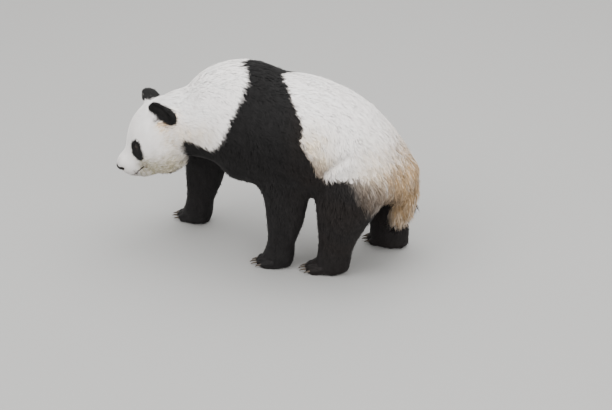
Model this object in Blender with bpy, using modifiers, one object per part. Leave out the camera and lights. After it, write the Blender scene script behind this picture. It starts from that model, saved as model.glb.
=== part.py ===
"""A giant panda standing in mid-walk, life size, modelled whole and parted with thin cuts.

Units are metres. The animal faces -X, its left side is -Y and +Z is up. The floor is z = 0 and the origin
lies on it, under the middle of the body. All sizes are those of the furred animal, out to the coat's tips.
"""

import math
from collections import namedtuple

import bmesh
import bpy
from mathutils import Matrix, Vector

# Driving dimensions
GAP = 0.0003  # the thin cut between neighbouring pieces
VOXEL = 0.009
SIDES = 36  # points round each lofted ring
STEPS = 5  # rings between two named rings

# Places that several pieces share
HEAD_CENTRE = Vector((-0.468, -0.045, 0.472))
HEAD_YAW = 26.0  # degrees the face turns to the animal's left
HEAD_PITCH = 24.0  # degrees the face drops
TO_ORIGIN = Vector((-0.010, 0, 0))  # brings the middle of the whole body over the origin
STANCE = 0.150  # how far each paw stands from the middle plane

# Each cut is a point on it and the direction that the parted piece lies in
HEAD_CUT = (Vector((-0.392, -0.02, 0.50)), Vector((-0.95, -0.14, -0.28)))
NECK_CUT = (Vector((-0.095, 0, 0.62)), Vector((-0.93, 0, 0.37)))
FAR_CHEEK_CUT = (Vector((-0.410, 0.075, 0.33)), Vector((-0.70, -0.70, 0)))
THROAT_CUT = (Vector((-0.20, 0, 0.512)), Vector((0.10, 0, 0.995)))
SHOULDER_CUT = (Vector((0.205, 0, 0.66)), Vector((-0.953, 0, -0.300)))
HEAD_FLOOR = 0.215  # the head's region stays above the forelegs
LEG_CUT_SLOPE = {"fore": 0.80, "hind": 1.00}  # how steeply each leg's top cut rises outwards
WRIST, ANKLE = 0.095, 0.100

COLOURS = {
    "white_fur": ((0.80, 0.78, 0.74), 0.90),
    "black_fur": ((0.014, 0.013, 0.014), 0.85),
    "eye": ((0.020, 0.012, 0.008), 0.10),
    "nose": ((0.012, 0.011, 0.012), 0.40),
    "claw": ((0.110, 0.080, 0.055), 0.35),
}

# One ring of a loft: its centre, its half sizes across and along the other way, and how much narrower it is
# towards its upper or forward side.
Ring = namedtuple("Ring", "x y z wide deep taper")

TRUNK = (
    Ring(0.572, 0, 0.392, 0.110, 0.098, 0.00),  # buttocks
    Ring(0.500, 0, 0.424, 0.183, 0.138, 0.05),
    Ring(0.400, 0, 0.470, 0.232, 0.188, 0.10),  # hips
    Ring(0.280, 0, 0.522, 0.260, 0.222, 0.12),
    Ring(0.150, 0, 0.553, 0.268, 0.239, 0.14),  # belly
    Ring(0.020, 0, 0.565, 0.252, 0.240, 0.20),
    Ring(-0.100, 0, 0.591, 0.222, 0.256, 0.30),  # withers
    Ring(-0.200, 0, 0.586, 0.190, 0.220, 0.26),
    Ring(-0.300, -0.005, 0.556, 0.163, 0.156, 0.15),  # base of the neck
    Ring(-0.380, -0.015, 0.536, 0.140, 0.138, 0.05),
    Ring(-0.440, -0.025, 0.508, 0.120, 0.124, 0.00),
)


def on_side(rings, side):
    """The same rings on the animal's left, where side is -1, or on its right, where side is 1."""
    return tuple(ring._replace(y=ring.y * side) for ring in rings)


LEFT_FORELEG = (
    Ring(-0.040, 0.125, 0.690, 0.050, 0.095, 0),  # top of the shoulder blade
    Ring(0.020, 0.165, 0.570, 0.075, 0.150, 0),
    Ring(0.108, 0.175, 0.440, 0.078, 0.130, 0),  # elbow
    Ring(0.122, 0.165, 0.330, 0.072, 0.100, 0),
    Ring(0.115, 0.155, 0.220, 0.066, 0.084, 0),  # forearm
    Ring(0.100, STANCE, 0.120, 0.058, 0.062, 0),
    Ring(0.088, STANCE, 0.045, 0.058, 0.066, 0),
)
RIGHT_FORELEG = (
    Ring(-0.090, 0.120, 0.690, 0.050, 0.095, 0),
    Ring(-0.160, 0.155, 0.560, 0.072, 0.130, 0),
    Ring(-0.250, 0.165, 0.430, 0.076, 0.118, 0),
    Ring(-0.312, 0.160, 0.310, 0.072, 0.100, 0),
    Ring(-0.332, 0.155, 0.200, 0.066, 0.084, 0),
    Ring(-0.348, STANCE, 0.110, 0.058, 0.063, 0),
    Ring(-0.358, STANCE, 0.045, 0.058, 0.066, 0),
)
LEFT_HINDLEG = (
    Ring(0.390, 0.110, 0.520, 0.080, 0.110, 0),  # haunch
    Ring(0.400, 0.165, 0.440, 0.090, 0.155, 0),
    Ring(0.375, 0.175, 0.330, 0.084, 0.132, 0),  # knee
    Ring(0.350, 0.165, 0.220, 0.074, 0.100, 0),
    Ring(0.333, 0.155, 0.130, 0.064, 0.078, 0),
    Ring(0.322, STANCE, 0.050, 0.062, 0.072, 0),
)
RIGHT_HINDLEG = (
    Ring(0.390, 0.105, 0.500, 0.080, 0.100, 0),
    Ring(0.432, 0.160, 0.420, 0.086, 0.125, 0),
    Ring(0.455, 0.170, 0.320, 0.080, 0.118, 0),
    Ring(0.480, 0.160, 0.220, 0.070, 0.090, 0),
    Ring(0.488, 0.150, 0.130, 0.062, 0.086, 0),
    Ring(0.490, STANCE, 0.055, 0.062, 0.089, 0),
)
TAIL = (
    Ring(0.570, 0, 0.455, 0.046, 0.040, 0),
    Ring(0.594, 0, 0.390, 0.058, 0.050, 0),
    Ring(0.590, 0, 0.310, 0.056, 0.054, 0),
    Ring(0.566, 0, 0.240, 0.046, 0.052, 0),
    Ring(0.556, 0, 0.190, 0.032, 0.030, 0),
)
# The head lies in a frame of its own, facing -X and upright, with its origin in the middle of the skull.
HEAD = (
    Ring(0.085, 0, 0.020, 0.100, 0.110, 0.0),  # back of the skull
    Ring(0.050, 0, 0.015, 0.122, 0.133, 0.05),
    Ring(0.010, 0, 0.009, 0.130, 0.138, 0.05),
    Ring(-0.030, 0, 0.001, 0.126, 0.130, 0.05),
    Ring(-0.068, 0, -0.010, 0.110, 0.116, 0.08),  # brow
    Ring(-0.098, 0, -0.025, 0.088, 0.098, 0.12),
    Ring(-0.118, 0, -0.040, 0.070, 0.082, 0.15),
    Ring(-0.136, 0, -0.052, 0.062, 0.067, 0.12),  # root of the muzzle
    Ring(-0.158, 0, -0.052, 0.056, 0.055, 0.08),
    Ring(-0.178, 0, -0.045, 0.047, 0.042, 0.0),
    Ring(-0.186, 0, -0.039, 0.033, 0.027, 0.0),
)
CHEEK_PLACE, CHEEK_SIZE = Vector((0.012, 0.078, -0.036)), Vector((0.086, 0.066, 0.084))

# Each ear: its middle, the way along it from its front end to its rear end, and the way up it
EARS = {
    "left": (Vector((0.068, -0.089, 0.126)), Vector((0.32, -0.45, -0.83)), Vector((0.61, -0.58, 0.55))),
    "right": (Vector((0.052, 0.100, 0.113)), Vector((0.39, 0.36, -0.84)), Vector((0.25, 0.75, 0.40))),
}
EAR_HALF_WIDTH, EAR_HALF_HEIGHT, EAR_HALF_THICKNESS = 0.065, 0.060, 0.019
EYE_RADIUS = 0.0125
EYE_PLACE = Vector((-0.0860, 0.0664, 0.0335))
NOSE_PLACE, NOSE_SIZE = Vector((-0.188, 0, -0.050)), Vector((0.011, 0.024, 0.016))

# Paws stand flat. Each is a low rounded pad with five toes along its front.
PAWS = {
    "forepaw_left": (-1, 0.075),
    "forepaw_right": (1, -0.372),
    "hindpaw_left": (-1, 0.300),
    "hindpaw_right": (1, 0.490),
}
PAW_HALF_WIDTH, PAW_HEIGHT = 0.060, 0.062
FOREPAW_HALF_LENGTH, HINDPAW_HALF_LENGTH = 0.075, 0.092
TOES, TOE_RADIUS, TOE_SPREAD = 5, 0.0150, 0.0210
TOE_IN = 10.0  # degrees that each paw points inwards
SOLE = 0.004  # the pads sink this far into the floor before the sole is cut flat
CLAW_LENGTH, CLAW_RADIUS, CLAW_DROP = 0.034, 0.0056, 38.0
CLAW_RINGS, CLAW_SIDES = 5, 7

# The box that holds each leg below its top cut, a point on that cut, and any other cut
BETWEEN_LEFT_LEGS = (Vector((0.2435, 0, 0.42)), Vector((-0.98, 0, 0.197)))
LEG_REGIONS = {
    "foreleg_left": ((-0.02, -0.5, -0.1), (0.30, -0.02, 0.6), (0.10, 0.16, 0.385), [BETWEEN_LEFT_LEGS]),
    "foreleg_right": ((-0.48, 0.02, -0.1), (-0.13, 0.5, 0.6), (-0.30, 0.16, 0.345), []),
    "hindleg_left": ((0.10, -0.5, -0.1), (0.70, -0.02, 0.6), (0.35, 0.16, 0.405),
                     [(BETWEEN_LEFT_LEGS[0], -BETWEEN_LEFT_LEGS[1])]),
    "hindleg_right": ((0.20, 0.02, -0.1), (0.80, 0.5, 0.6), (0.45, 0.16, 0.405), []),
}

TRIANGLES = 4000


def clear_scene():
    for obj in list(bpy.data.objects):
        bpy.data.objects.remove(obj)


def new_collection(name, hidden=False):
    made = bpy.data.collections.new(name)
    made.hide_render = hidden
    bpy.context.scene.collection.children.link(made)
    return made


def new_object(name, mesh, collection):
    made = bpy.data.objects.new(name, mesh)
    collection.objects.link(made)
    return made


def mesh_from(bm, name):
    bmesh.ops.recalc_face_normals(bm, faces=bm.faces[:])
    mesh = bpy.data.meshes.new(name)
    bm.to_mesh(mesh)
    bm.free()
    return mesh


def between(rings, steps):
    """Rings on a smooth curve through the named ones, with steps rings in each span."""
    found = []
    for i in range(len(rings) - 1):
        a, b, c, d = (rings[max(0, min(len(rings) - 1, i + k))] for k in (-1, 0, 1, 2))
        for step in range(steps):
            t = step / steps
            found.append(Ring(*(
                0.5 * (2 * q + (r - p) * t + (2 * p - 5 * q + 4 * r - s) * t * t
                       + (3 * q - p - 3 * r + s) * t ** 3)
                for p, q, r, s in zip(a, b, c, d)
            )))
    return found + [rings[-1]]


def ring_points(ring, along, across, sides, reach=1.0, out=0.0):
    """Points round one ring, whose plane holds across and is square to along. reach shrinks the ring and out
    moves it along the loft, for a domed end."""
    other = along.cross(across).normalized()
    if other.z < 0 or (abs(other.z) < 0.3 and other.x > 0):
        other = -other
    centre = Vector((ring.x, ring.y, ring.z)) + along * out
    points = []
    for i in range(sides):
        angle = math.tau * i / sides
        up = math.sin(angle)
        wide = ring.wide * reach * math.cos(angle) * (1 - ring.taper * up)
        points.append(centre + across * wide + other * (ring.deep * reach * up))
    return points


def loft(name, named_rings, across=Vector((0, 1, 0)), along=None, sides=SIDES, steps=STEPS, dome=0.6):
    """A closed body through the rings, with a domed cap at each end. The rings stand square to their own
    curve, or to along where it is given."""
    rings = between(named_rings, steps)
    centres = [Vector((r.x, r.y, r.z)) for r in rings]
    last = len(rings) - 1
    alongs = [along or centres[min(i + 1, last)] - centres[max(i - 1, 0)] for i in range(last + 1)]
    alongs = [(a - across * a.dot(across)).normalized() for a in alongs]
    cap = [math.radians(a) for a in (75, 50, 25)]
    bulge_in = min(rings[0].wide, rings[0].deep) * dome
    bulge_out = min(rings[last].wide, rings[last].deep) * dome
    loops = [ring_points(rings[0], alongs[0], across, sides, math.cos(a), -bulge_in * math.sin(a))
             for a in cap]
    loops += [ring_points(r, a, across, sides) for r, a in zip(rings, alongs)]
    loops += [ring_points(rings[last], alongs[last], across, sides, math.cos(a), bulge_out * math.sin(a))
              for a in reversed(cap)]
    bm = bmesh.new()
    made = [[bm.verts.new(p) for p in loop] for loop in loops]
    for near, far in zip(made, made[1:]):
        for i in range(sides):
            j = (i + 1) % sides
            bm.faces.new((near[i], near[j], far[j], far[i]))
    bm.faces.new(made[0])
    bm.faces.new(made[-1])
    return mesh_from(bm, name)


def ellipsoid(name, place, size, segments=32):
    bm = bmesh.new()
    bmesh.ops.create_uvsphere(bm, u_segments=segments, v_segments=segments // 2, radius=1.0)
    bmesh.ops.transform(bm, matrix=Matrix.Translation(place) @ Matrix.Diagonal((*size, 1)), verts=bm.verts)
    return mesh_from(bm, name)


def turned(axis, degrees):
    return Matrix.Rotation(math.radians(degrees), 4, axis)


def head_matrix():
    """From the head's own frame to the animal's: pitched down, then turned left."""
    return Matrix.Translation(HEAD_CENTRE) @ turned("Z", HEAD_YAW) @ turned("Y", -HEAD_PITCH)


def joined(name, meshes, collection):
    bm = bmesh.new()
    for mesh in meshes:
        bm.from_mesh(mesh)
    whole = bpy.data.meshes.new(name)
    bm.to_mesh(whole)
    bm.free()
    return new_object(name, whole, collection)


def applied(obj):
    """The object with its modifiers turned into its mesh."""
    graph = bpy.context.evaluated_depsgraph_get()
    mesh = bpy.data.meshes.new_from_object(obj.evaluated_get(graph))
    obj.modifiers.clear()
    obj.data = mesh
    return obj


def paw_meshes(name, side, x):
    """A low pad with toes, pointing to -X and a little inwards."""
    fore = name.startswith("fore")
    half_length = FOREPAW_HALF_LENGTH if fore else HINDPAW_HALF_LENGTH
    place = paw_matrix(name)
    pad = ellipsoid(name, Vector((0, 0, PAW_HEIGHT * 0.42 - SOLE)),
                    Vector((half_length, PAW_HALF_WIDTH, PAW_HEIGHT * 0.62)))
    pad.transform(place)
    toes = []
    for toe in toe_places(half_length):
        mesh = ellipsoid(name, toe, Vector((TOE_RADIUS * 1.7, TOE_RADIUS, TOE_RADIUS * 1.15)), 16)
        mesh.transform(place)
        toes.append(mesh)
    return [pad] + toes


def toe_places(half_length):
    """Five toes in a shallow arc along the paw's front edge."""
    found = []
    for i in range(TOES):
        k = i - (TOES - 1) / 2
        back = 0.0065 * k * k
        found.append(Vector((-half_length * 0.86 + back, k * TOE_SPREAD * 0.98, TOE_RADIUS * 1.05 - SOLE)))
    return found


def paw_matrix(name):
    side, x = PAWS[name]
    return Matrix.Translation((x, side * STANCE, 0)) @ turned("Z", -side * TOE_IN)


def claw(name, root, matrix):
    """A blunt curved cone that leaves the toe forwards and bends down to the floor."""
    bm = bmesh.new()
    place = root + Vector((-TOE_RADIUS * 0.9, 0, TOE_RADIUS * 0.25))
    loops = []
    for i in range(CLAW_RINGS):
        t = i / (CLAW_RINGS - 1)
        drop = math.radians(CLAW_DROP) * t
        ahead = Vector((-math.cos(drop), 0, -math.sin(drop)))
        up = Vector((ahead.z, 0, -ahead.x))
        radius = CLAW_RADIUS * (1.0 - 0.72 * t ** 1.3)
        angles = [math.tau * k / CLAW_SIDES for k in range(CLAW_SIDES)]
        loops.append([bm.verts.new(place + radius * (Vector((0, 0.75 * math.cos(a), 0)) + up * math.sin(a)))
                      for a in angles])
        place = place + ahead * CLAW_LENGTH / (CLAW_RINGS - 1)
    for near, far in zip(loops, loops[1:]):
        for k in range(CLAW_SIDES):
            n = (k + 1) % CLAW_SIDES
            bm.faces.new((near[k], near[n], far[n], far[k]))
    bm.faces.new(loops[0])
    bm.faces.new(loops[-1])
    bmesh.ops.transform(bm, matrix=matrix, verts=bm.verts)
    return mesh_from(bm, name)


def ear_matrix(label):
    """The ear's own frame in the head's: its front faces -X, its length lies along Y and its height along Z."""
    place, along, up = EARS[label]
    along = along.normalized()
    up = (up - along * up.dot(along)).normalized()
    back = along.cross(up)
    if back.x < 0:
        back = -back
    return Matrix.Translation(place) @ Matrix((back, up.cross(back), up)).transposed().to_4x4()


def ear_mesh(name, label):
    """A thick round ear whose front is pressed in."""
    bm = bmesh.new()
    bmesh.ops.create_uvsphere(bm, u_segments=16, v_segments=10, radius=1.0)
    for v in bm.verts:
        r = v.co.y ** 2 + v.co.z ** 2
        if v.co.x < 0:
            v.co.x += 0.9 * max(0.0, 1 - r / 0.72) * abs(v.co.x) ** 0.5
        v.co.x -= 0.35 * r
    size = Vector((EAR_HALF_THICKNESS, EAR_HALF_WIDTH, EAR_HALF_HEIGHT))
    bmesh.ops.scale(bm, vec=size, verts=bm.verts)
    bmesh.ops.transform(bm, matrix=head_matrix() @ ear_matrix(label), verts=bm.verts)
    return mesh_from(bm, name)


def box_mesh(name, centre, size, matrix=Matrix()):
    bm = bmesh.new()
    bmesh.ops.create_cube(bm, size=1.0)
    bmesh.ops.transform(bm, matrix=matrix @ Matrix.Translation(centre) @ Matrix.Diagonal((*size, 1)),
                        verts=bm.verts)
    return mesh_from(bm, name)


def region(name, low, high, cuts, inset=0.0):
    """A box, cut by planes, that fills the side each cut's direction points to. inset draws every face in."""
    low, high = Vector(low) + Vector((inset,) * 3), Vector(high) - Vector((inset,) * 3)
    bm = bmesh.new()
    bmesh.ops.create_cube(bm, size=1.0)
    place = Matrix.Translation((low + high) / 2) @ Matrix.Diagonal((*(high - low), 1))
    bmesh.ops.transform(bm, matrix=place, verts=bm.verts)
    for point, direction in cuts:
        direction = direction.normalized()
        geometry = bm.verts[:] + bm.edges[:] + bm.faces[:]
        bmesh.ops.bisect_plane(bm, geom=geometry, plane_co=point + direction * inset, plane_no=-direction,
                               clear_outer=True)
        bmesh.ops.holes_fill(bm, edges=[e for e in bm.edges if e.is_boundary])
    bmesh.ops.triangulate(bm, faces=bm.faces[:])
    return mesh_from(bm, name)


def boolean(obj, other, operation):
    cut = obj.modifiers.new(operation.lower(), "BOOLEAN")
    cut.operation = operation
    cut.solver = "EXACT"
    cut.object = other
    return applied(obj)


def parted(whole, name, low, high, cuts, parts, cutters):
    """Splits a region off whole as its own object, with the gap between the two."""
    piece = new_object(name, whole.data.copy(), parts)
    inside = new_object(name + "_region", region(name, low, high, cuts, GAP), cutters)
    around = new_object(name + "_region_and_gap", region(name, low, high, cuts), cutters)
    for cutter in (inside, around):
        cutter.display_type = "WIRE"
        cutter.hide_render = True
    boolean(piece, inside, "INTERSECT")
    boolean(whole, around, "DIFFERENCE")
    return piece


def leg_cut(name, point):
    """The plane that parts a leg from the body: it passes through point and rises outwards."""
    side = -1 if name.endswith("left") else 1
    x, y, z = point
    return (Vector((x, side * y, z)), Vector((0, side * LEG_CUT_SLOPE[name[:4]], -1)))


def painted(obj, slot):
    material = bpy.data.materials.get(slot)
    if material is None:
        colour, roughness = COLOURS[slot]
        material = bpy.data.materials.new(slot)
        material.use_nodes = True
        shader = material.node_tree.nodes["Principled BSDF"]
        shader.inputs["Base Color"].default_value = (*colour, 1)
        shader.inputs["Roughness"].default_value = roughness
        shader.inputs["Metallic"].default_value = 0.0
    obj.data.materials.clear()
    obj.data.materials.append(material)
    obj.data.shade_smooth()
    obj.data.set_sharp_from_angle(angle=math.radians(40))


def inflated(obj, cutters):
    """A copy of the object grown by the gap, to cut its neighbour with."""
    grown = new_object(obj.name + "_grown", obj.data.copy(), cutters)
    swell = grown.modifiers.new("grow", "DISPLACE")
    swell.strength = GAP
    swell.mid_level = 0.0
    grown.hide_render = True
    grown.display_type = "WIRE"
    return applied(grown)


def build_body(parts):
    to_animal = head_matrix()
    head = [loft("head", HEAD, along=Vector((-1, 0, 0)))]
    for side in (-1, 1):
        place = Vector((CHEEK_PLACE.x, side * CHEEK_PLACE.y, CHEEK_PLACE.z))
        head.append(ellipsoid("cheek", place, CHEEK_SIZE))
    for mesh in head:
        mesh.transform(to_animal)
    meshes = head + [loft("trunk", TRUNK)]
    for rings, side in ((LEFT_FORELEG, -1), (RIGHT_FORELEG, 1), (LEFT_HINDLEG, -1), (RIGHT_HINDLEG, 1)):
        meshes.append(loft("leg", on_side(rings, side)))
    for name, (side, x) in PAWS.items():
        meshes += paw_meshes(name, side, x)
    body = joined("trunk", meshes, parts)
    remesh = body.modifiers.new("one skin", "REMESH")
    remesh.mode = "VOXEL"
    remesh.voxel_size = VOXEL
    soften = body.modifiers.new("soften", "SMOOTH")
    soften.factor = 0.5
    soften.iterations = 7
    applied(body)
    near_head = body.vertex_groups.new(name="away_from_head")
    for v in body.data.vertices:
        d = (v.co - HEAD_CENTRE).length
        near_head.add([v.index], min(1.0, max(0.0, (d - 0.10) / 0.20)), "REPLACE")
    thin = body.modifiers.new("fewer faces", "DECIMATE")
    thin.decimate_type = "COLLAPSE"
    thin.vertex_group = "away_from_head"
    thin.vertex_group_factor = 0.03
    thin.ratio = TRIANGLES / sum(len(p.vertices) - 2 for p in body.data.polygons)
    applied(body)
    body.vertex_groups.clear()
    return body


def build():
    clear_scene()
    parts, cutters = new_collection("giant_panda"), new_collection("cutters", hidden=True)
    trunk = build_body(parts)
    floor = new_object("above_floor", box_mesh("above_floor", Vector((0, 0, 1)), Vector((4, 4, 2))), cutters)
    floor.hide_render = True
    boolean(trunk, floor, "INTERSECT")

    legs = {}
    for name, (low, high, point, others) in LEG_REGIONS.items():
        legs[name] = parted(trunk, name, low, high, [leg_cut(name, point)] + others, parts, cutters)
    paws = {}
    for name, leg in legs.items():
        paw = name.replace("leg", "paw")
        top = WRIST if name.startswith("fore") else ANKLE
        paws[paw] = parted(leg, paw, (-1, -1, -1), (1, 1, top), [], parts, cutters)
    everything = ((-1.1, -0.7, -0.2), (1.0, 0.7, 1.1))
    head = parted(trunk, "head", (-1, -1, HEAD_FLOOR), (1, 1, 1), [HEAD_CUT, FAR_CHEEK_CUT], parts, cutters)
    shoulders = parted(trunk, "shoulders", *everything, [SHOULDER_CUT], parts, cutters)
    neck = parted(shoulders, "neck", *everything, [NECK_CUT, THROAT_CUT], parts, cutters)

    to_animal = head_matrix()
    grown_head, grown_neck = inflated(head, cutters), inflated(neck, cutters)
    for label in EARS:
        ear = new_object(f"ear_{label}", ear_mesh("ear", label), parts)
        boolean(ear, grown_head, "DIFFERENCE")
        boolean(ear, grown_neck, "DIFFERENCE")
        painted(ear, "black_fur")
    nose_mesh = ellipsoid("nose", NOSE_PLACE, NOSE_SIZE, 16)
    nose_mesh.transform(to_animal)
    nose = new_object("nose", nose_mesh, parts)
    boolean(nose, grown_head, "DIFFERENCE")
    painted(nose, "nose")
    for label, side in (("left", -1), ("right", 1)):
        place = to_animal @ Vector((EYE_PLACE.x, side * EYE_PLACE.y, EYE_PLACE.z))
        eye = new_object(f"eye_{label}", ellipsoid("eye", place, Vector((EYE_RADIUS,) * 3), 12), parts)
        socket = new_object(f"socket_{label}",
                            ellipsoid("socket", place, Vector((EYE_RADIUS + GAP,) * 3), 12), cutters)
        socket.hide_render = True
        boolean(head, socket, "DIFFERENCE")
        painted(eye, "eye")

    for name, paw in paws.items():
        half_length = FOREPAW_HALF_LENGTH if name.startswith("fore") else HINDPAW_HALF_LENGTH
        grown_paw = inflated(paw, cutters)
        for i, toe in enumerate(toe_places(half_length)):
            label = f"claw_{name}_{i + 1}"
            nail = new_object(label, claw(label, toe, paw_matrix(name)), parts)
            boolean(nail, grown_paw, "DIFFERENCE")
            painted(nail, "claw")

    tail = new_object("tail", loft("tail", TAIL, sides=14, steps=3), parts)
    for neighbour in (trunk, legs["hindleg_left"], legs["hindleg_right"]):
        boolean(tail, inflated(neighbour, cutters), "DIFFERENCE")
    painted(tail, "white_fur")
    for obj in (trunk, neck, head):
        painted(obj, "white_fur")
    for obj in (shoulders, *legs.values(), *paws.values()):
        painted(obj, "black_fur")
    for obj in parts.objects:
        obj.data.transform(Matrix.Translation(TO_ORIGIN))


build()
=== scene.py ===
"""The look of the giant panda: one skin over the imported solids' flesh, a coat of solid tufts over the skin, and
eyes, lids, nose and claws. Metres, +Z up; the animal faces -X and its left side is -Y."""

import math
from contextlib import contextmanager

import bmesh
import bpy
import numpy as np
from mathutils import Matrix, Vector
from mathutils.kdtree import KDTree


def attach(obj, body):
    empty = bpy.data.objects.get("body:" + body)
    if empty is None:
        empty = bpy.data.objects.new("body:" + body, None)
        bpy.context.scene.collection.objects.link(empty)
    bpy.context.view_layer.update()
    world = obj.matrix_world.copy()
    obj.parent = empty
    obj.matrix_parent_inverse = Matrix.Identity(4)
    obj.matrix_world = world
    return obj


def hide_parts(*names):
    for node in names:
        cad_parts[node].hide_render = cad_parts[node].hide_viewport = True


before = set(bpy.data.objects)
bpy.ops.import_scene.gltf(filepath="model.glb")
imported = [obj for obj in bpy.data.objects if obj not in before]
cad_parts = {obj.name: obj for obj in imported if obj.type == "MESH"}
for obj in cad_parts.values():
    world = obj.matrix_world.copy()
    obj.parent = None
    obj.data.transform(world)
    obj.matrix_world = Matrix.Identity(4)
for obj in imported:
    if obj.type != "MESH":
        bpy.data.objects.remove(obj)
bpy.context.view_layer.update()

RNG = np.random.default_rng(11)
COVER = 1.0  # the share of the coat that is made
CLAWS = [node for name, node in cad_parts.items() if name.startswith("claw")]

# ------------ the animal's own sizes and places
FLESH = ("head", "neck", "shoulders", "trunk", "tail", "ear_left", "ear_right",
         "foreleg_left", "foreleg_right", "hindleg_left", "hindleg_right",
         "forepaw_left", "forepaw_right", "hindpaw_left", "hindpaw_right")
SKIN_VOXEL = 0.0066
SOLE = 0.0035  # below this the skin is the flat sole
PAW_TOP = 0.09
HEAD_LOW = 0.2  # nothing of the head is lower than this
HEAD_REACH, HEAD_END = (0.205, 0.225), (0.075, 0.105)  # where the head gives way to the neck: out and backwards
HEAD_CENTRE = np.array((-0.478, -0.045, 0.472))
HEAD_YAW, HEAD_PITCH = 26.0, 24.0
EARS = {  # the middle of each ear, the way along it and the way up it, in the head's frame
    "left": ((0.068, -0.089, 0.126), (0.32, -0.45, -0.83), (0.61, -0.58, 0.55)),
    "right": ((0.052, 0.1, 0.113), (0.39, 0.36, -0.84), (0.25, 0.75, 0.4)),
}
EAR_REACH = (0.032, 0.074, 0.067)
EAR_SHIFT = 0.005  # how far that reach is moved towards the ear's rear end
EAR_ALONG = (0.005, 0.02, 0.045, 0.07)  # towards each ear's rear end, where the black starts higher
EAR_BASE = (-0.028, -0.016, -0.004, 0.01)
EYE = np.array((-0.0822, 0.0636, 0.0315))
EYE_RADIUS = 0.0122
EYE_RIM = np.array((-0.0905, 0.0695, 0.0355))  # where the lids come out of the face
EYE_BARE = (0.02, 0.0095, 0.0062)
RIM_DARK = 0.009  # how far round it the skin is all dark
NOSE = np.array((-0.1915, 0.0, -0.0468))
NOSE_HALF = (0.0125, 0.029, 0.0142)
NOSE_SLOPE = 0.45  # how much further back the nose's foot is than its top
NOSE_BARE = (0.023, 0.0335, 0.0145)
NOSE_CORNER = np.array((-0.187, 0.035, -0.047))  # where the muzzle falls back beside the nose

# The black band over the shoulders: where it starts and ends along the body, by the angle down from the top
BAND_HEIGHT = 0.55  # of the line the angles are taken round
START_ANGLE = (0, 3.1, 9.3, 16.6, 21.9, 27.4, 34.4, 42.2, 49.4, 57.8, 74.5, 86.4, 92.1, 98.4, 112)
BAND_START = (
    -0.104, -0.096, -0.078, -0.061, -0.056, -0.059, -0.066, -0.075, -0.083, -0.094, -0.116, -0.128, -0.145,
    -0.165, -0.19)
END_ANGLE = (0, 1.8, 9.5, 19.9, 29.4, 45, 53, 59.3, 69.7, 79.1, 84.6, 90.2, 102.2, 110, 135)
BAND_END = (
    0.06, 0.064, 0.084, 0.109, 0.132, 0.164, 0.184, 0.196, 0.204, 0.208, 0.223, 0.242, 0.264, 0.268, 0.262)
THROAT_X = (-0.5, -0.375, -0.345, -0.307, -0.28, -0.24, -0.2, -0.165)
THROAT_Z = (0.42, 0.455, 0.49, 0.526, 0.523, 0.51, 0.503, 0.519)
# Each hind leg's middle along the body by height, and how far behind it the black reaches
LEG_Z = (0.05, 0.13, 0.22, 0.32, 0.43)
HIND_X = (0.312, 0.323, 0.34, 0.365, 0.39), (0.5, 0.492, 0.47, 0.445, 0.422)  # the left's and the right's
REACH_Z = (0.2, 0.25, 0.292, 0.385, 0.442, 0.462)
REACH = (0.3, 0.19, 0.125, 0.098, 0.066, 0.03)
THIGH_TOP = 0.456  # where the black of the thighs ends

WHITE = np.array((0.88, 0.85, 0.832))
BLACK = np.array((0.0072, 0.0066, 0.0068))
CREAM = np.array((0.61, 0.51, 0.375))
GOLD = np.array((0.325, 0.213, 0.108))
TAN = np.array((0.64, 0.45, 0.27))
DIRT = np.array((0.315, 0.285, 0.19))
SOOT = np.array((0.085, 0.065, 0.05))
MOUSE = np.array((0.17, 0.128, 0.095))
BARE_SKIN = np.array((0.03, 0.022, 0.02))
HORN = ((0.35, (0.03, 0.022, 0.017, 1)), (0.72, (0.095, 0.072, 0.05, 1)))  # dark to light, by its grain
LEATHER, LID = (0.0065, 0.0055, 0.0058), (0.026, 0.023, 0.022)
IRIS, EYE_WHITE, PUPIL = np.array(((0.026, 0.014, 0.008), (0.012, 0.009, 0.008), (0.003, 0.003, 0.003)))
# Stains: the middle, reach, colour and strength; the lower ones lie over the upper
STAINS = (
    (0.52, -0.18, 0.51, 0.11, CREAM, 0.45),
    (0.52, 0.18, 0.5, 0.11, CREAM, 0.55),
    (0.49, -0.2, 0.43, 0.075, CREAM * 0.85, 0.8),
    (0.49, 0.2, 0.42, 0.075, CREAM * 0.85, 0.7),
    # these two darken the fold of the flank: stain and painted shade in the crease
    (0.285, -0.25, 0.525, 0.055, CREAM * 0.75, 0.9),
    (0.285, 0.25, 0.525, 0.055, CREAM * 0.75, 0.7),
    (0.25, -0.25, 0.6, 0.075, CREAM, 0.8),
    (0.25, 0.25, 0.6, 0.075, CREAM, 0.45),
    (-0.3, -0.17, 0.545, 0.05, CREAM, 0.65),
    (-0.272, -0.16, 0.515, 0.022, SOOT * 2, 0.6),
    (-0.22, -0.2, 0.56, 0.06, CREAM, 0.5),
    (-0.26, 0.18, 0.55, 0.06, CREAM, 0.45),
    (0.6, 0, 0.43, 0.13, GOLD, 0.9),
    (0.57, 0, 0.29, 0.13, GOLD, 1),
    (0.555, -0.13, 0.41, 0.08, GOLD, 0.85),
    (0.55, 0.13, 0.41, 0.085, GOLD, 0.65),
    (0.575, -0.07, 0.36, 0.085, GOLD, 0.9),
    (0.545, -0.04, 0.235, 0.075, GOLD, 0.95),
    (0.525, -0.06, 0.275, 0.06, GOLD * 0.45, 0.9),
    (0.5, -0.09, 0.3, 0.075, SOOT * 2.2, 0.8),
    (0.5, 0.09, 0.3, 0.075, SOOT * 2, 0.85),
    (0.474, -0.22, 0.395, 0.06, MOUSE, 0.95),
    (0.51, -0.19, 0.398, 0.044, MOUSE, 0.95),
    (0.478, -0.22, 0.345, 0.055, SOOT * 1.1, 0.95),
    (0.482, 0.22, 0.365, 0.06, MOUSE, 0.9),
)
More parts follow.
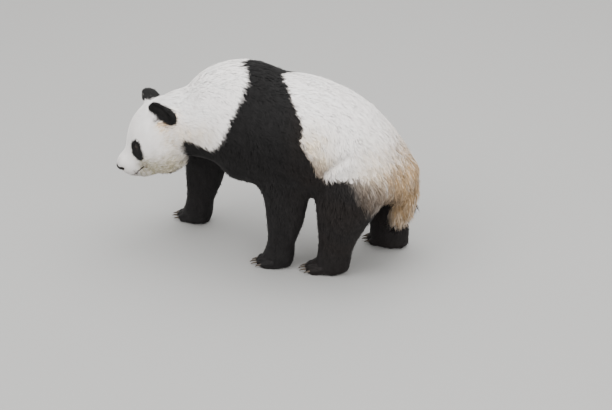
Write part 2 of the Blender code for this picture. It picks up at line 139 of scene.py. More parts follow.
HEAD_STAINS = (  # in the head's frame
    (-0.03, -0.125, -0.095, 0.05, CREAM, 0.65),
    (0.02, -0.13, -0.08, 0.05, CREAM, 0.65),
    (0.07, -0.125, 0.01, 0.05, CREAM, 0.65),
    (0.11, -0.12, 0.08, 0.038, TAN, 0.6),
    (-0.04, 0.125, -0.09, 0.05, CREAM, 0.6),
    (0.04, 0.125, -0.03, 0.06, CREAM, 0.45),
    (-0.15, 0, -0.115, 0.04, CREAM, 0.6),
    (0.056, -0.112, 0.092, 0.026, TAN, 1),
    (0.06, 0.085, 0.09, 0.02, TAN, 0.6),
    (-0.075, -0.095, -0.045, 0.034, DIRT, 0.9),
    (-0.04, -0.11, -0.07, 0.045, DIRT, 0.55),
    (0.01, -0.125, -0.07, 0.05, DIRT, 0.4),
    (-0.04, 0.11, -0.07, 0.045, DIRT, 0.35),
    (-0.095, -0.09, -0.05, 0.019, SOOT * 1.8, 0.95),
    (-0.14, -0.058, -0.078, 0.014, SOOT * 1.6, 0.9),
    (-0.095, 0.088, -0.052, 0.014, SOOT * 2, 0.7),
    (-0.14, 0.058, -0.078, 0.012, SOOT * 2, 0.5),
)
# The eye patch: its middle, the way the face looks there, and its rim
PATCH = np.array((-0.093, 0.076, 0.021))
PATCH_NORMAL = np.array((-0.7, 0.65, 0.25))
PATCH_RIM = np.array((
    (-0.0776, 0.0712, 0.064), (-0.0968, 0.0535, 0.0555), (-0.1085, 0.053, 0.035), (-0.1145, 0.0615, 0.006),
    (-0.1085, 0.0745, -0.0115), (-0.0984, 0.086, -0.0195), (-0.0838, 0.0985, -0.015),
    (-0.0765, 0.1015, -0.0015), (-0.0735, 0.102, 0.011), (-0.0735, 0.0955, 0.03), (-0.0685, 0.0955, 0.042),
    (-0.0685, 0.0835, 0.06)))
PATCH_EDGE = (0.99, 1.17)  # where its black fades out, out of the rim's way from the middle
# The lips, from under the nose to the corner of the mouth, on one side of the head
LIPS = np.array((
    (-0.194, 0, -0.06), (-0.1851, 0, -0.0751), (-0.1805, 0.0181, -0.0793), (-0.1704, 0.0351, -0.083),
    (-0.1555, 0.0471, -0.0808), (-0.1411, 0.0569, -0.077), (-0.1331, 0.0634, -0.0694), (-0.1191, 0.074, -0.061),
    (-0.1084, 0.0799, -0.0566), (-0.0999, 0.0859, -0.0497)))
LIPS_BARE, LIPS_DARK = 0.0044, (0.0046, 0.0064)
# The line of the jaw on one side, along which the cheek's fur hangs fullest
JAW = np.array((
    (-0.105, 0.066, -0.088), (-0.065, 0.08, -0.094), (-0.03, 0.104, -0.096), (0.01, 0.114, -0.102),
    (0.036, 0.112, -0.096)))
CREST = np.array((0.055, 0.072, 0.131))  # the tuft of the crown that stands before the far ear
FLANK_FOLD = np.array((
    (0.262, -0.262, 0.455), (0.285, -0.256, 0.496), (0.318, -0.247, 0.524), (0.352, -0.233, 0.55),
    (0.385, -0.215, 0.57)))
# The stained edge of the white flank behind the upper arm, with painted shade in the crease there, from below
# upwards
ARM_EDGE = np.array(((0.278, -0.238, 0.462), (0.262, -0.249, 0.51), (0.248, -0.251, 0.536), (0.232, -0.248, 0.568)))

EDGE = 0.006  # half the width over which white fur turns to black
WANDER = (0.0028, 0.0022)  # how far that edge wanders, in long and in short waves

# The stains along the white parts' edges, with painted shade in the creases of the flank fold and behind the upper
# arm: the line, its reach and its strength
EDGE_STAINS_AND_SHADE = ((FLANK_FOLD, 0.014, 0.8), (FLANK_FOLD * (1, -1, 1), 0.014, 0.6),
               (ARM_EDGE, 0.03, 1.3), (ARM_EDGE * (1, -1, 1), 0.03, 0.9))
# the belly's cream goes on skin that faces down, and is in part painted shade on the underside
BELLY_CREAM_AND_SHADE, CURL_CREAM, CURL_DIRT = 0.55, 0.65, (0.24, 0.85)
HEAD_STAINS_END = 0.16  # how far back the head's stains go
BLACK_LIFT, BLACK_LIFT_LOW = 0.58, 1.15  # how light the black is on the back, and how much lighter low down
WARM = np.array((0.002, 0.0007, 0.0))  # the brown in the black of the hindquarters

# The lie of the coat: a place, the hair's way, its length and the coat's depth; places off the middle are mirrored
LIE = (
    (-0.36, 0, 0.69, 0.9, 0, 0.2, 0.026, 0.0075),
    (-0.22, 0, 0.8, 0.9, 0, 0.25, 0.032, 0.0085),
    (-0.12, 0, 0.84, 1, 0, 0, 0.034, 0.0085),
    (0.03, 0, 0.81, 1, 0, -0.05, 0.034, 0.0085),
    (0.2, 0, 0.79, 1, 0, -0.15, 0.034, 0.0085),
    (0.35, 0, 0.7, 0.9, 0, -0.45, 0.036, 0.009),
    (0.47, 0, 0.58, 0.7, 0, -0.7, 0.042, 0.0105),
    (0.56, 0, 0.48, 0.35, 0, -0.9, 0.052, 0.014),
    (-0.32, 0.16, 0.58, 0.85, 0.1, -0.45, 0.032, 0.0085),
    (-0.2, 0.19, 0.66, 0.85, 0, -0.45, 0.034, 0.0085),
    (-0.1, 0.2, 0.68, 0.75, 0, -0.65, 0.034, 0.0085),
    (-0.02, 0.24, 0.52, 0.45, 0, -0.9, 0.034, 0.009),
    (0.1, 0.26, 0.6, 0.7, 0, -0.7, 0.034, 0.0085),
    (0.22, 0.26, 0.6, 0.75, 0, -0.65, 0.036, 0.009),
    (0.28, 0.25, 0.5, 0.3, 0, -0.95, 0.04, 0.01),
    (0.36, 0.24, 0.56, 0.65, 0, -0.75, 0.038, 0.01),
    (0.45, 0.2, 0.5, 0.6, 0, -0.8, 0.046, 0.012),
    (0.53, 0.13, 0.45, 0.45, 0, -0.85, 0.054, 0.014),
    (0.1, 0, 0.33, 1, 0, -0.1, 0.042, 0.011),
    (0.3, 0, 0.33, 1, 0, -0.1, 0.042, 0.011),
    (-0.1, 0, 0.36, 0.8, 0, -0.4, 0.04, 0.01),
    (-0.25, 0, 0.41, 0.6, 0, -0.7, 0.04, 0.01),
    (-0.36, 0, 0.42, 0.5, 0, -0.8, 0.038, 0.01),
    (0.6, 0, 0.38, 0.15, 0, -1, 0.062, 0.015),
    (0.58, 0, 0.28, 0, 0, -1, 0.062, 0.014),
    (0.56, 0, 0.21, -0.1, 0, -1, 0.05, 0.011),
    (0.49, 0.12, 0.34, 0.05, 0, -1, 0.085, 0.015),
    (0.5, 0.06, 0.31, 0.05, 0, -1, 0.12, 0.017),
    (0.53, 0.05, 0.27, 0, 0, -1, 0.11, 0.016),
    (0.23, 0.25, 0.55, 0.5, 0, -0.85, 0.04, 0.01),
    (0.29, 0.25, 0.56, -0.1, 0, -1, 0.04, 0.01),
    (0.34, 0.23, 0.58, -0.05, 0, -1, 0.04, 0.01),
    (0.32, 0.25, 0.49, 0.45, 0, -0.9, 0.036, 0.01),
)
# On the legs: a height, the hair's length and the coat's depth
LEG_LIE = ((0.4, 0.032, 0.009), (0.3, 0.029, 0.0085), (0.2, 0.026, 0.008), (0.13, 0.021, 0.0065))
# Each leg's side, and its middle along the body at those heights and on the floor
LEG_X = (
    (-1, (0.1, 0.112, 0.105, 0.095, 0.065)),
    (1, (-0.27, -0.322, -0.342, -0.355, -0.382)),
    (-1, (0.385, 0.36, 0.335, 0.32, 0.29)),
    (1, (0.43, 0.45, 0.478, 0.495, 0.48)),
)
LEG_Y, LEG_ROUND = 0.155, ((-0.07, 0), (0.07, 0), (0, -0.06), (0, 0.06))
PAW_Y, PAW_ROUND = 0.15, ((-0.07, 0.02), (0.0, 0.05), (0.04, 0.03))
LEG_WAY = (0.12, 0, -1.0)
LIE_REACH = 0.075
CHUNK = 20000  # how many points are worked out at a time
HAIR_PART = (-0.26, 0, -0.035)  # the point before the nose that the head's hair lies away from
JAW_FLUFF = 0.006  # how much deeper the coat is along the jaw
CURLY_REACH, FLUFF_REACH = 0.068, 0.06
MUZZLE_END = -0.125
HAIR_WAVE = 0.28  # how much the way of the hair wanders
# Length and depth on the muzzle, and how much more there is at the head's back, and low at the back
FACE_LENGTH, FACE_DEPTH = (0.0075, 0.016, 0.012), (0.0022, 0.0048, 0.003)
EAR_LENGTH, EAR_DEPTH = 0.015, 0.0036
PAW_LIE = (-0.8, 0, -0.45, 0.012, 0.0036)  # the way of the hair on the paws, its length and its depth
EYE_TRIM, LIPS_TRIM = (0.45, 0.55), (0.5, 0.4)  # how much shorter and shallower the coat is close to them
TOE = np.array((0.045, 0.0, 0.014))  # from each claw's root to the toe's rear end


# ------------ small tools
def unit(v):
    return v / np.maximum(np.linalg.norm(v, axis=-1, keepdims=True), 1e-9)


def norms(v):
    return np.linalg.norm(v, axis=1)


def smooth(low, high, value):
    t = np.clip((value - low) / (high - low), 0, 1)
    return t * t * (3 - 2 * t)


def bell(away, reach, height=1.0):
    """The height at no distance, which fades to nearly 0 at twice the reach."""
    return height * np.exp(-(away / reach) ** 2)


def mixed(under, over, share):
    return under * (1 - share) + over * share


def waves(seed, size, count=9):
    """A smooth random function of points with about this grain, from about -1 to 1."""
    rng = np.random.default_rng(seed)
    ways = unit(rng.normal(size=(count, 3))) * rng.uniform(0.6, 1.5, (count, 1)) * math.tau / size
    phase = rng.uniform(0, math.tau, count)
    return lambda p: np.cos(p @ ways.T + phase).sum(1) / math.sqrt(count)


def rotation(axis, degrees):
    return np.array(Matrix.Rotation(math.radians(degrees), 3, axis))


HEAD_TURN = rotation("Z", HEAD_YAW) @ rotation("Y", -HEAD_PITCH)


def to_head(p):
    return (p - HEAD_CENTRE) @ HEAD_TURN


def from_head(p):
    return np.asarray(p) @ HEAD_TURN.T + HEAD_CENTRE


def one_side(h):
    """Points of the head's frame, all on the side where y is positive."""
    return np.c_[h[:, 0], np.abs(h[:, 1]), h[:, 2]]


def ear_axes(label):
    """Rows: the ear's back, its length and its height, in the head's frame."""
    _, along, up = (np.array(v) for v in EARS[label])
    along = unit(along)
    up = unit(up - along * (up @ along))
    back = np.cross(along, up)
    back *= math.copysign(1, back[0])
    return np.array((back, np.cross(up, back), up))


def in_ear(h, label):
    """Points of the head's frame in the ear's: back, length and height, from the ear's middle."""
    return (h - EARS[label][0]) @ ear_axes(label).T


def rearward(e, label):
    """How far points of the ear's frame are towards its rear end."""
    return e[:, 1] * math.copysign(1, ear_axes(label)[1] @ np.array(EARS[label][1]))


def above_base(e, label):
    """How far points of the ear's frame are above the line where its black starts."""
    return e[:, 2] - np.interp(rearward(e, label), EAR_ALONG, EAR_BASE)


def ear_weight(h, label):
    """1 on the ear, 0 off it."""
    e = in_ear(h, label)
    e[:, 1] = rearward(e, label) - EAR_SHIFT
    return 1 - smooth(0.92, 1.06, norms(e / EAR_REACH))


def to_line(p, line):
    """How far points lie from a line through the given ones, and how far along it, from 0 to 1."""
    best = np.full(len(p), np.inf)
    along = np.zeros(len(p))
    for i, (a, b) in enumerate(zip(line, line[1:])):
        t = np.clip((p - a) @ (b - a) / ((b - a) @ (b - a)), 0, 1)
        d = norms(p - a - t[:, None] * (b - a))
        nearer = d < best
        best[nearer] = d[nearer]
        along[nearer] = (i + t[nearer]) / (len(line) - 1)
    return best, along


def placed(name, data):
    """A new object of the scene with this data."""
    made = bpy.data.objects.new(name, data)
    bpy.context.scene.collection.objects.link(made)
    return made


def object_of(name, points, faces):
    mesh = bpy.data.meshes.new(name)
    mesh.from_pydata(points, [], faces)
    mesh.update()
    return placed(name, mesh)


@contextmanager
def opened(mesh):
    """A mesh as a bmesh, which is written back to it at the end."""
    bm = bmesh.new()
    bm.from_mesh(mesh)
    yield bm
    bm.to_mesh(mesh)
    bm.free()


def read(items, field, width, kind=np.float64):
    """A field of all of a mesh's vertices, edges or the like, a row for each."""
    found = np.empty(len(items) * width, kind)
    items.foreach_get(field, found)
    return found.reshape(-1, width)


def positions(mesh):
    return read(mesh.vertices, "co", 3)


def normals(mesh):
    return read(mesh.vertex_normals, "vector", 3)


def put(mesh, points):
    mesh.vertices.foreach_set("co", points.astype(np.float32).ravel())
    mesh.update()


def colour_by_vertex(mesh, colours):
    layer = mesh.color_attributes.new("tint", "FLOAT_COLOR", "POINT")
    layer.data.foreach_set("color", np.c_[colours, np.ones(len(colours))].astype(np.float32).ravel())


# ------------ the markings, for skin and coat alike
BLUR, FLECKS, STREAKS = waves(3, 0.035), waves(5, 0.012), waves(7, 0.02)
PATCHES = waves(9, 0.11)
CURLS = waves(21, 0.024), waves(23, 0.024), waves(25, 0.024)


def round_angle(p):
    """How far points are round the trunk from its top, in degrees."""
    return np.degrees(np.arctan2(np.abs(p[:, 1]), p[:, 2] - BAND_HEIGHT))


def curliness(h):
    """1 along the jaw and cheek, where the fur is long and curly."""
    return bell(to_line(one_side(h), JAW)[0], CURLY_REACH) * (h[:, 0] > MUZZLE_END)


def head_share(h):
    """1 on the head, 0 on the neck."""
    near = 1 - smooth(*HEAD_REACH, norms(h * (0.85, 1, 1)))
    return near * (1 - smooth(*HEAD_END, h[:, 0] + 0.25 * np.clip(-h[:, 2] - 0.06, 0, 1)))


def around_patch(m):
    """Where points lie round the middle of the eye patch: the angle and how far out."""
    down = unit(np.cross(PATCH_NORMAL, (0.0, 1.0, 0.0)))
    a, b = (m - PATCH) @ down, (m - PATCH) @ unit(np.cross(PATCH_NORMAL, down))
    return np.arctan2(b, a), np.hypot(a, b)


def blackness(p, n):
    """From 0, white coat, to 1, black coat. p are points on the skin and n its normals."""
    x, y, z = p.T
    wander = WANDER[0] * BLUR(p) + WANDER[1] * FLECKS(p)
    h = to_head(p)
    on_head = head_share(h) * (h[:, 0] < 0.12) * (z > 0.25) * (np.abs(h[:, 1]) < 0.2)
    angle = round_angle(p)
    start = np.interp(angle, START_ANGLE, BAND_START)
    end = np.interp(angle, END_ANGLE, BAND_END)
    throat = np.interp(x, THROAT_X, THROAT_Z)
    behind = np.maximum(smooth(-EDGE, EDGE, x - start + wander), smooth(-EDGE, EDGE, throat - z + wander))
    band = behind * smooth(-EDGE, EDGE, end - x + wander)
    # the belly is white between the legs
    under = smooth(0.55, 0.85, -n[:, 2]) * smooth(0.27, 0.31, z) * smooth(0.02, 0.1, x + wander)
    band *= 1 - under * (1 - smooth(0.1, 0.17, np.abs(y)))
    middle = np.where(y < 0, *(np.interp(z, LEG_Z, xs) for xs in HIND_X))
    reach = np.interp(z, REACH_Z, REACH)
    soft = 0.014 + 0.05 * smooth(0.28, 0.4, z)
    rear = smooth(-soft, soft, reach - (x - middle) + 2 * wander)
    hind = rear * smooth(-0.008, 0.008, THIGH_TOP - z + 1.5 * wander) * (x > 0.2)
    hind *= 1 - smooth(0.3, 0.36, z) * (1 - smooth(0.07, 0.12, np.abs(y)))  # not between the thighs
    tail = (x > 0.5) * (z > 0.17) * (1 - smooth(0.055, 0.075, np.abs(y)))
    body = np.maximum(band, hind * (1 - tail)) * (1 - on_head)
    turn, far = around_patch(one_side(h))
    reach = np.interp(turn, *around_patch(PATCH_RIM), period=math.tau)
    patch = (1 - smooth(*PATCH_EDGE, far / reach + 0.04 * FLECKS(p))) * (h[:, 0] < -0.02)
    ears = np.maximum(*(ear_weight(h, k) * smooth(-EDGE, EDGE, above_base(in_ear(h, k), k)) for k in EARS))
    return np.clip(np.maximum.reduce((body, patch * on_head, ears)), 0, 1)


def spots(p, table):
    """How much each stain of a table covers points, and its colour."""
    return [(bell(norms((p - centre) / size), 1, strength), colour) for *centre, size, colour, strength in table]


def tints(p, n):
    """The coat's colour at points on the skin."""
    black = blackness(p, n)[:, None]
    h = to_head(p)
    on_head = head_share(h)
    curly = curliness(h) * on_head
    # cream on skin that faces down: partly the belly's own cream, partly painted shade on the underside
    low = smooth(-0.1, -0.9, n[:, 2]) * smooth(-0.2, 0.1, p[:, 0])
    streaked = 1 + 0.35 * STREAKS(p * (1, 1, 0.25))
    flecked = (1 + 0.7 * FLECKS(p)) * (h[:, 0] < HEAD_STAINS_END)
    stains = [(BELLY_CREAM_AND_SHADE * low, CREAM)]
    stains += [(share * (1 - on_head) * streaked, colour) for share, colour in spots(p, STAINS)]
    stains.append((CURL_CREAM * curly * smooth(0.1, 1.0, CURLS[1](p)), CREAM))
    stains += [(share * flecked, colour) for share, colour in spots(h, HEAD_STAINS)]
    stains.append((curly * (CURL_DIRT[0] + CURL_DIRT[1] * smooth(0.0, 0.9, CURLS[0](p))), DIRT))
    white = WHITE * (1 + 0.02 * PATCHES(p))[:, None]
    for share, colour in stains:
        white = mixed(white, colour, np.clip(share, 0, 1)[:, None])
    # brown along the flank fold and behind the upper arm: part stain, part painted shade in the creases
    for line, reach, strength in EDGE_STAINS_AND_SHADE:
        away, far = to_line(p, line)
        share = bell(away, reach, strength) * (1 - 0.7 * far) * (1 + 0.3 * STREAKS(p))
        white = mixed(white, MOUSE, np.clip(share, 0, 0.9)[:, None])
    warm = smooth(0.1, 0.24, p[:, 0])[:, None] * (1 + 0.4 * PATCHES(p))[:, None]
    # the black is made lighter low down, by height alone
    black_lift = BLACK_LIFT + BLACK_LIFT_LOW * smooth(0.64, 0.24, p[:, 2])
    dark = BLACK * (black_lift + 0.15 * BLUR(p))[:, None] + WARM * np.clip(warm, 0, 1.5)
    fringe = 2 * black * (1 - black) * smooth(-0.1, 0.15, p[:, 0])[:, None]
    return mixed(mixed(white, dark, black), SOOT * 1.4, fringe)


# ------------ the skin
SWELL = 0.0006
# Rounds of evening out: the body, everything, the coat's depth, and the skin below the coat
BODY_ROUNDS, ALL_ROUNDS, DEPTH_ROUNDS, SUNK_ROUNDS = 46, 4, 10, 3
SPARED = 0.93  # the share of the first rounds that the head and paws are spared
FACE_SWELL = 0.004  # how much less than the coat's depth the head's skin is sunk
# The skin's small forms: their reach and height, below 0 where they sink in; a second lies AWAY from the first
JAW_FORM, CREST_FORM, CORNER_FORM = (0.034, 0.015), (0.024, 0.006), (0.012, -0.008)
LIPS_FORM, LIPS_SECOND, LIPS_AWAY = (0.0026, -0.0042), (0.003, 0.0014), 0.006
EYE_FORM, EYE_SECOND, EYE_AWAY = (0.013, -0.0022), (0.007, 0.0022), 0.021
TOE_FORM, TOE_SECOND, TOE_AWAY = (0.0085, 0.0065), (0.005, -0.004), 0.0135
FOLD_FORMS = {1: (0.017, -0.02), -1: (0.017, -0.014)}  # where FLANK_FOLD is, and on the other side
FINE_SKIN = (0.012, 0.006)  # how much wider than below each round's finer faces reach
FINE_LIPS, FINE_EYE, FINE_NOSE = 0.006, 0.018, 0.022


def flesh():
    """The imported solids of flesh, swollen a little and remeshed as one body."""
    mesh = bpy.data.meshes.new("skin")
    with opened(mesh) as bm:
        for name in FLESH:
            start = len(bm.verts)
            bm.from_mesh(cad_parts[name].data)
            bm.verts.ensure_lookup_table()
            bm.normal_update()
            for v in bm.verts[start:]:
                v.co += v.normal * SWELL
    body = placed("skin", mesh)
    remesh = body.modifiers.new("one skin", "REMESH")
    remesh.mode = "VOXEL"
    remesh.voxel_size = SKIN_VOXEL
    whole = bpy.data.meshes.new_from_object(body.evaluated_get(bpy.context.evaluated_depsgraph_get()))
    body.modifiers.clear()
    body.data = whole
    return body


def largest_piece(bm):
    """Drops every loose piece but the largest."""
    left, pieces = set(bm.verts), []
    while left:
        front = [left.pop()]
        piece = set(front)
        while front:
            v = front.pop()
            near = {e.other_vert(v) for e in v.link_edges} & left
            left -= near
            piece |= near
            front += near
        pieces.append(piece)
    for piece in sorted(pieces, key=len)[:-1]:
        bmesh.ops.delete(bm, geom=list(piece), context="VERTS")


def averaged(values, ends, weight, rounds):
    """Values on vertices, evened out along the edges."""
    count = np.bincount(ends.ravel(), minlength=len(values)).astype(float)[:, None]
    weight = np.broadcast_to(weight, (len(values),))[:, None]
    for _ in range(rounds):
        total = np.empty_like(values)
        for k in range(values.shape[1]):
            total[:, k] = (np.bincount(ends[:, 0], values[ends[:, 1], k], len(values))
                           + np.bincount(ends[:, 1], values[ends[:, 0], k], len(values)))
        values = values + weight * 0.5 * (total / np.maximum(count, 1) - values)
    return values


def lie_guides():
    """Rows like those of LIE, for both sides and the legs."""
    rows = []
    for row in LIE:
        for side in ((1, -1) if row[1] else (1,)):
            rows.append(np.array(row) * (1, side, 1, 1, side, 1, 1, 1))
    for side, xs in LEG_X:
        for x, (z, length, depth) in zip(xs, LEG_LIE):
            rows += [(x + dx, side * LEG_Y + dy, z, *LEG_WAY, length, depth) for dx, dy in LEG_ROUND]
        rows += [(xs[-1] + dx, side * PAW_Y, dz, *PAW_LIE) for dx, dz in PAW_ROUND]
    return np.array(rows)


def lie(p, n):
    """For points on the body: the way the hair lies, its length and the coat's depth."""
    rows = lie_guides()
    found = np.empty((len(p), 5))
    for start in range(0, len(p), CHUNK):
        part = slice(start, start + CHUNK)
        d2 = ((p[part, None, :] - rows[None, :, :3]) ** 2).sum(2)
        weight = np.exp(-(d2 - d2.min(1, keepdims=True)) / LIE_REACH ** 2)
        weight /= weight.sum(1, keepdims=True)
        found[part] = weight @ rows[:, 3:]
    way, length, depth = found[:, :3], found[:, 3], found[:, 4]
    way = way + HAIR_WAVE * np.c_[BLUR(p), BLUR(p[:, [1, 2, 0]] + 3), PATCHES(p + 1)]
    h = to_head(p)
    m = one_side(h)
    share = head_share(h) * (p[:, 2] > HEAD_LOW)
    out = (h - HAIR_PART) * (0.8, 1.0, 1.0)
    out[:, 2] -= 0.035 * smooth(0.0, -0.1, h[:, 2])
    way = mixed(unit(way), unit(out) @ HEAD_TURN.T, share[:, None])
    back = smooth(-0.15, 0.07, h[:, 0])
    low = smooth(0.02, -0.09, h[:, 2])
    length, depth = (mixed(body, face + more * back + most * low * back, share)
                     for body, (face, more, most) in ((length, FACE_LENGTH), (depth, FACE_DEPTH)))
    depth = depth + JAW_FLUFF * bell(to_line(m, JAW)[0], FLUFF_REACH)
    near_eye = 1 - smooth(0.016, 0.045, norms(m - EYE_RIM))
    near_lips = 1 - smooth(0.003, 0.012, to_line(m, LIPS)[0])
    length, depth = (of * (1 - by_eye * near_eye) * (1 - by_lips * near_lips)
                     for of, by_eye, by_lips in zip((length, depth), EYE_TRIM, LIPS_TRIM))
    for label in EARS:
        w, e = ear_weight(h, label), in_ear(h, label)
        up = unit(np.c_[np.zeros(len(e)), 0.9 * e[:, 1], e[:, 2] + 0.075])
        way = mixed(way, up @ ear_axes(label) @ HEAD_TURN.T, w[:, None])
        length = mixed(length, EAR_LENGTH, w)
        depth = mixed(depth, EAR_DEPTH, w)
    way = way - n * (way * n).sum(1, keepdims=True)
    return unit(way), length, depth


def make_skin():
    body = flesh()
    mesh = body.data
    with opened(mesh) as bm:
        largest_piece(bm)
    p, ends = positions(mesh), read(mesh.edges, "vertices", 2, np.int64)
    fine = np.maximum(head_share(to_head(p)) * (p[:, 2] > HEAD_LOW), 1 - smooth(0.05, 0.11, p[:, 2]))
    sole = p[:, 2] < SOLE
    p = averaged(p, ends, np.where(sole, 0, 1 - SPARED * fine), BODY_ROUNDS)
    p = averaged(p, ends, np.where(sole, 0, 1.0), ALL_ROUNDS)
    put(mesh, p)
    n = normals(mesh)
    _, _, depth = lie(p, n)
    depth = averaged(depth[:, None], ends, 1, DEPTH_ROUNDS)[:, 0]
    keep = smooth(0.003, 0.02, p[:, 2] + 0.02 * (1 - smooth(-0.9, -0.3, n[:, 2])))
    swell = FACE_SWELL * head_share(to_head(p))
    p = p - n * ((depth - swell) * keep)[:, None]
    put(mesh, averaged(p, ends, np.where(sole, 0, 0.8), SUNK_ROUNDS))
    refine(mesh)
    carve(mesh)
    mesh.shade_smooth()
    return body


def refine(mesh):
    """Finer faces on the muzzle and round the eyes, where the skin shows."""
    for wider in FINE_SKIN:
        with opened(mesh) as bm:
            bm.faces.ensure_lookup_table()
            m = one_side(to_head(np.array([f.calc_center_median() for f in bm.faces])))
            wanted = to_line(m, LIPS)[0] < FINE_LIPS + wider
            wanted |= norms(m - EYE_RIM) < FINE_EYE + wider
            wanted |= norms(m - NOSE) < FINE_NOSE + wider
            chosen = {e.index: e for i in np.nonzero(wanted)[0] for e in bm.faces[i].edges}
            chosen = [chosen[i] for i in sorted(chosen)]
            bmesh.ops.subdivide_edges(bm, edges=chosen, cuts=1, use_grid_fill=True, smooth=0.5)
    mesh.update()


def toe_swell(p):
    """How far the paws' skin stands out over the toes and sinks between."""
    away = np.full(len(p), np.inf)
    for claw in CLAWS:
        root = positions(claw.data)
        root = root[np.argmax(root[:, 0])]
        away = np.minimum(away, to_line(p, np.array((root, root + TOE)))[0])
    return bell(away, *TOE_FORM) + bell(away - TOE_AWAY, *TOE_SECOND)


def carve(mesh):
    """Toes, lips, eye sockets and the fold of the flank, pressed into the skin."""
    p, n = positions(mesh), normals(mesh)
    h = to_head(p)
    m = one_side(h)
    push = bell(to_line(m, JAW)[0], *JAW_FORM)
    push += bell(norms(h - CREST), *CREST_FORM)
    from_lips, _ = to_line(m, LIPS)
    push += bell(from_lips, *LIPS_FORM)
    push += bell(from_lips - LIPS_AWAY, *LIPS_SECOND)
    push += bell(norms(m - NOSE_CORNER), *CORNER_FORM)
    from_eye = norms(m - EYE_RIM)
    push += bell(from_eye, *EYE_FORM)
    push += toe_swell(p) * smooth(0.004, 0.012, p[:, 2])
    push += bell(from_eye - EYE_AWAY, *EYE_SECOND) * (m[:, 2] > EYE_RIM[2])
    for side, form in FOLD_FORMS.items():
        push += bell(to_line(p, FLANK_FOLD * (1, side, 1))[0], *form)
    put(mesh, p + n * push[:, None])


# ------------ the coat
def faces_of(mesh):
    """Each triangle and quad as four vertices: a triangle's last one twice."""
    start, total = (read(mesh.polygons, field, 1, np.int64)[:, 0] for field in ("loop_start", "loop_total"))
    loops = read(mesh.loops, "vertex_index", 1, np.int64)[:, 0]
    keep = total <= 4
    start, total = start[keep], total[keep]
    return np.stack([loops[start + np.minimum(k, total - 1)] for k in range(4)], 1)


# Tufts to a square metre; what the rump and legs have comes on top of the body's
BODY, RUMP, LEGS, EAR_AND_PAW, MUZZLE, NAPE = 46000, 20000, 8000, 90000, 300000, 100000
STEP = (0.7549, 0.5698)  # from each root of a face to its next, across it and up it: it spreads them evenly


def density(p):
    """How many tufts the coat has to a square metre."""
    h = to_head(p)
    share = head_share(h) * (p[:, 2] > HEAD_LOW)
    back = smooth(-0.13, 0.06, h[:, 0])
    found = BODY + RUMP * smooth(0.46, 0.56, p[:, 0]) + LEGS * (1 - smooth(0.1, 0.42, p[:, 2]))
    found = np.where(p[:, 2] < PAW_TOP, EAR_AND_PAW, found)
    found = mixed(found, mixed(MUZZLE, NAPE, back), share)
    for label in EARS:
        found = mixed(found, EAR_AND_PAW, ear_weight(h, label))
    return found


def on_pad(p, n):
    """True on the soles."""
    return (p[:, 2] < 0.006) | ((p[:, 2] < 0.03) & (n[:, 2] < -0.5))


def bare(p, n):
    """Where no hair grows: soles, nose, lips and eyes."""
    m = one_side(to_head(p))
    found = on_pad(p, n)
    found |= norms((m - EYE_RIM) @ gaze(1).T / EYE_BARE) < 1
    found |= norms((m - NOSE) / NOSE_BARE) < 1
    found |= to_line(m, LIPS)[0] < LIPS_BARE
    return found


def roots(mesh):
    """Points spread evenly over the skin, with its normal at each."""
    p, n, quads = positions(mesh), normals(mesh), faces_of(mesh)
    a, b, c, d = (p[quads[:, k]] for k in range(4))
    area = 0.5 * (norms(np.cross(b - a, c - a)) + norms(np.cross(c - a, d - a)))
    middle = (a + b + c + d) / 4
    wanted = density(middle) * area * COVER
    count = np.floor(wanted + RNG.random(len(wanted))).astype(int)
    face = np.repeat(np.arange(len(quads)), count)
    nth = np.arange(len(face)) - np.repeat(np.cumsum(count) - count, count)
    offset = RNG.random((len(quads), 2))[face]
    u, v = ((offset + nth[:, None] * STEP) % 1).T[:, :, None]
    corner = quads[face]
    weights = ((1 - u) * (1 - v), u * (1 - v), u * v, (1 - u) * v)
    at = sum(w * p[corner[:, k]] for k, w in enumerate(weights))
    normal = unit(sum(w * n[corner[:, k]] for k, w in enumerate(weights)))
    keep = ~bare(at, normal)
    return at[keep], normal[keep]


def regions(p):
    """Which named piece of coat each root belongs to."""
    h = to_head(p)
    x, y, z = p.T
    names = np.full(len(p), "coat_trunk", dtype="U24")
    names[x < 0.22] = "coat_shoulders"
    names[(x < np.interp(round_angle(p), START_ANGLE, BAND_START)) & (z > 0.4)] = "coat_neck"
    names[x > 0.5] = "coat_rump"
    by_tail = (x > 0.53) & (np.abs(y) < 0.065)
    names[by_tail & (z > 0.15) & (z < 0.43)] = "coat_tail"
    parting = 0.16 + 0.25 * z  # between the forelegs and the hind ones
    for side, label in ((-1, "left"), (1, "right")):
        names[(y * side > 0.02) & (z < 0.36) & (x < parting)] = "coat_foreleg_" + label
        names[(y * side > 0.02) & (z < 0.4) & (x >= parting) & ~by_tail] = "coat_hindleg_" + label
    names[z < PAW_TOP] = "coat_paws"
    names[(head_share(h) > 0.5) & (z > HEAD_LOW) & (np.abs(h[:, 1]) < 0.2)] = "coat_head"
    for label in EARS:
        names[ear_weight(h, label) > 0.5] = "coat_ear_" + label
    return names


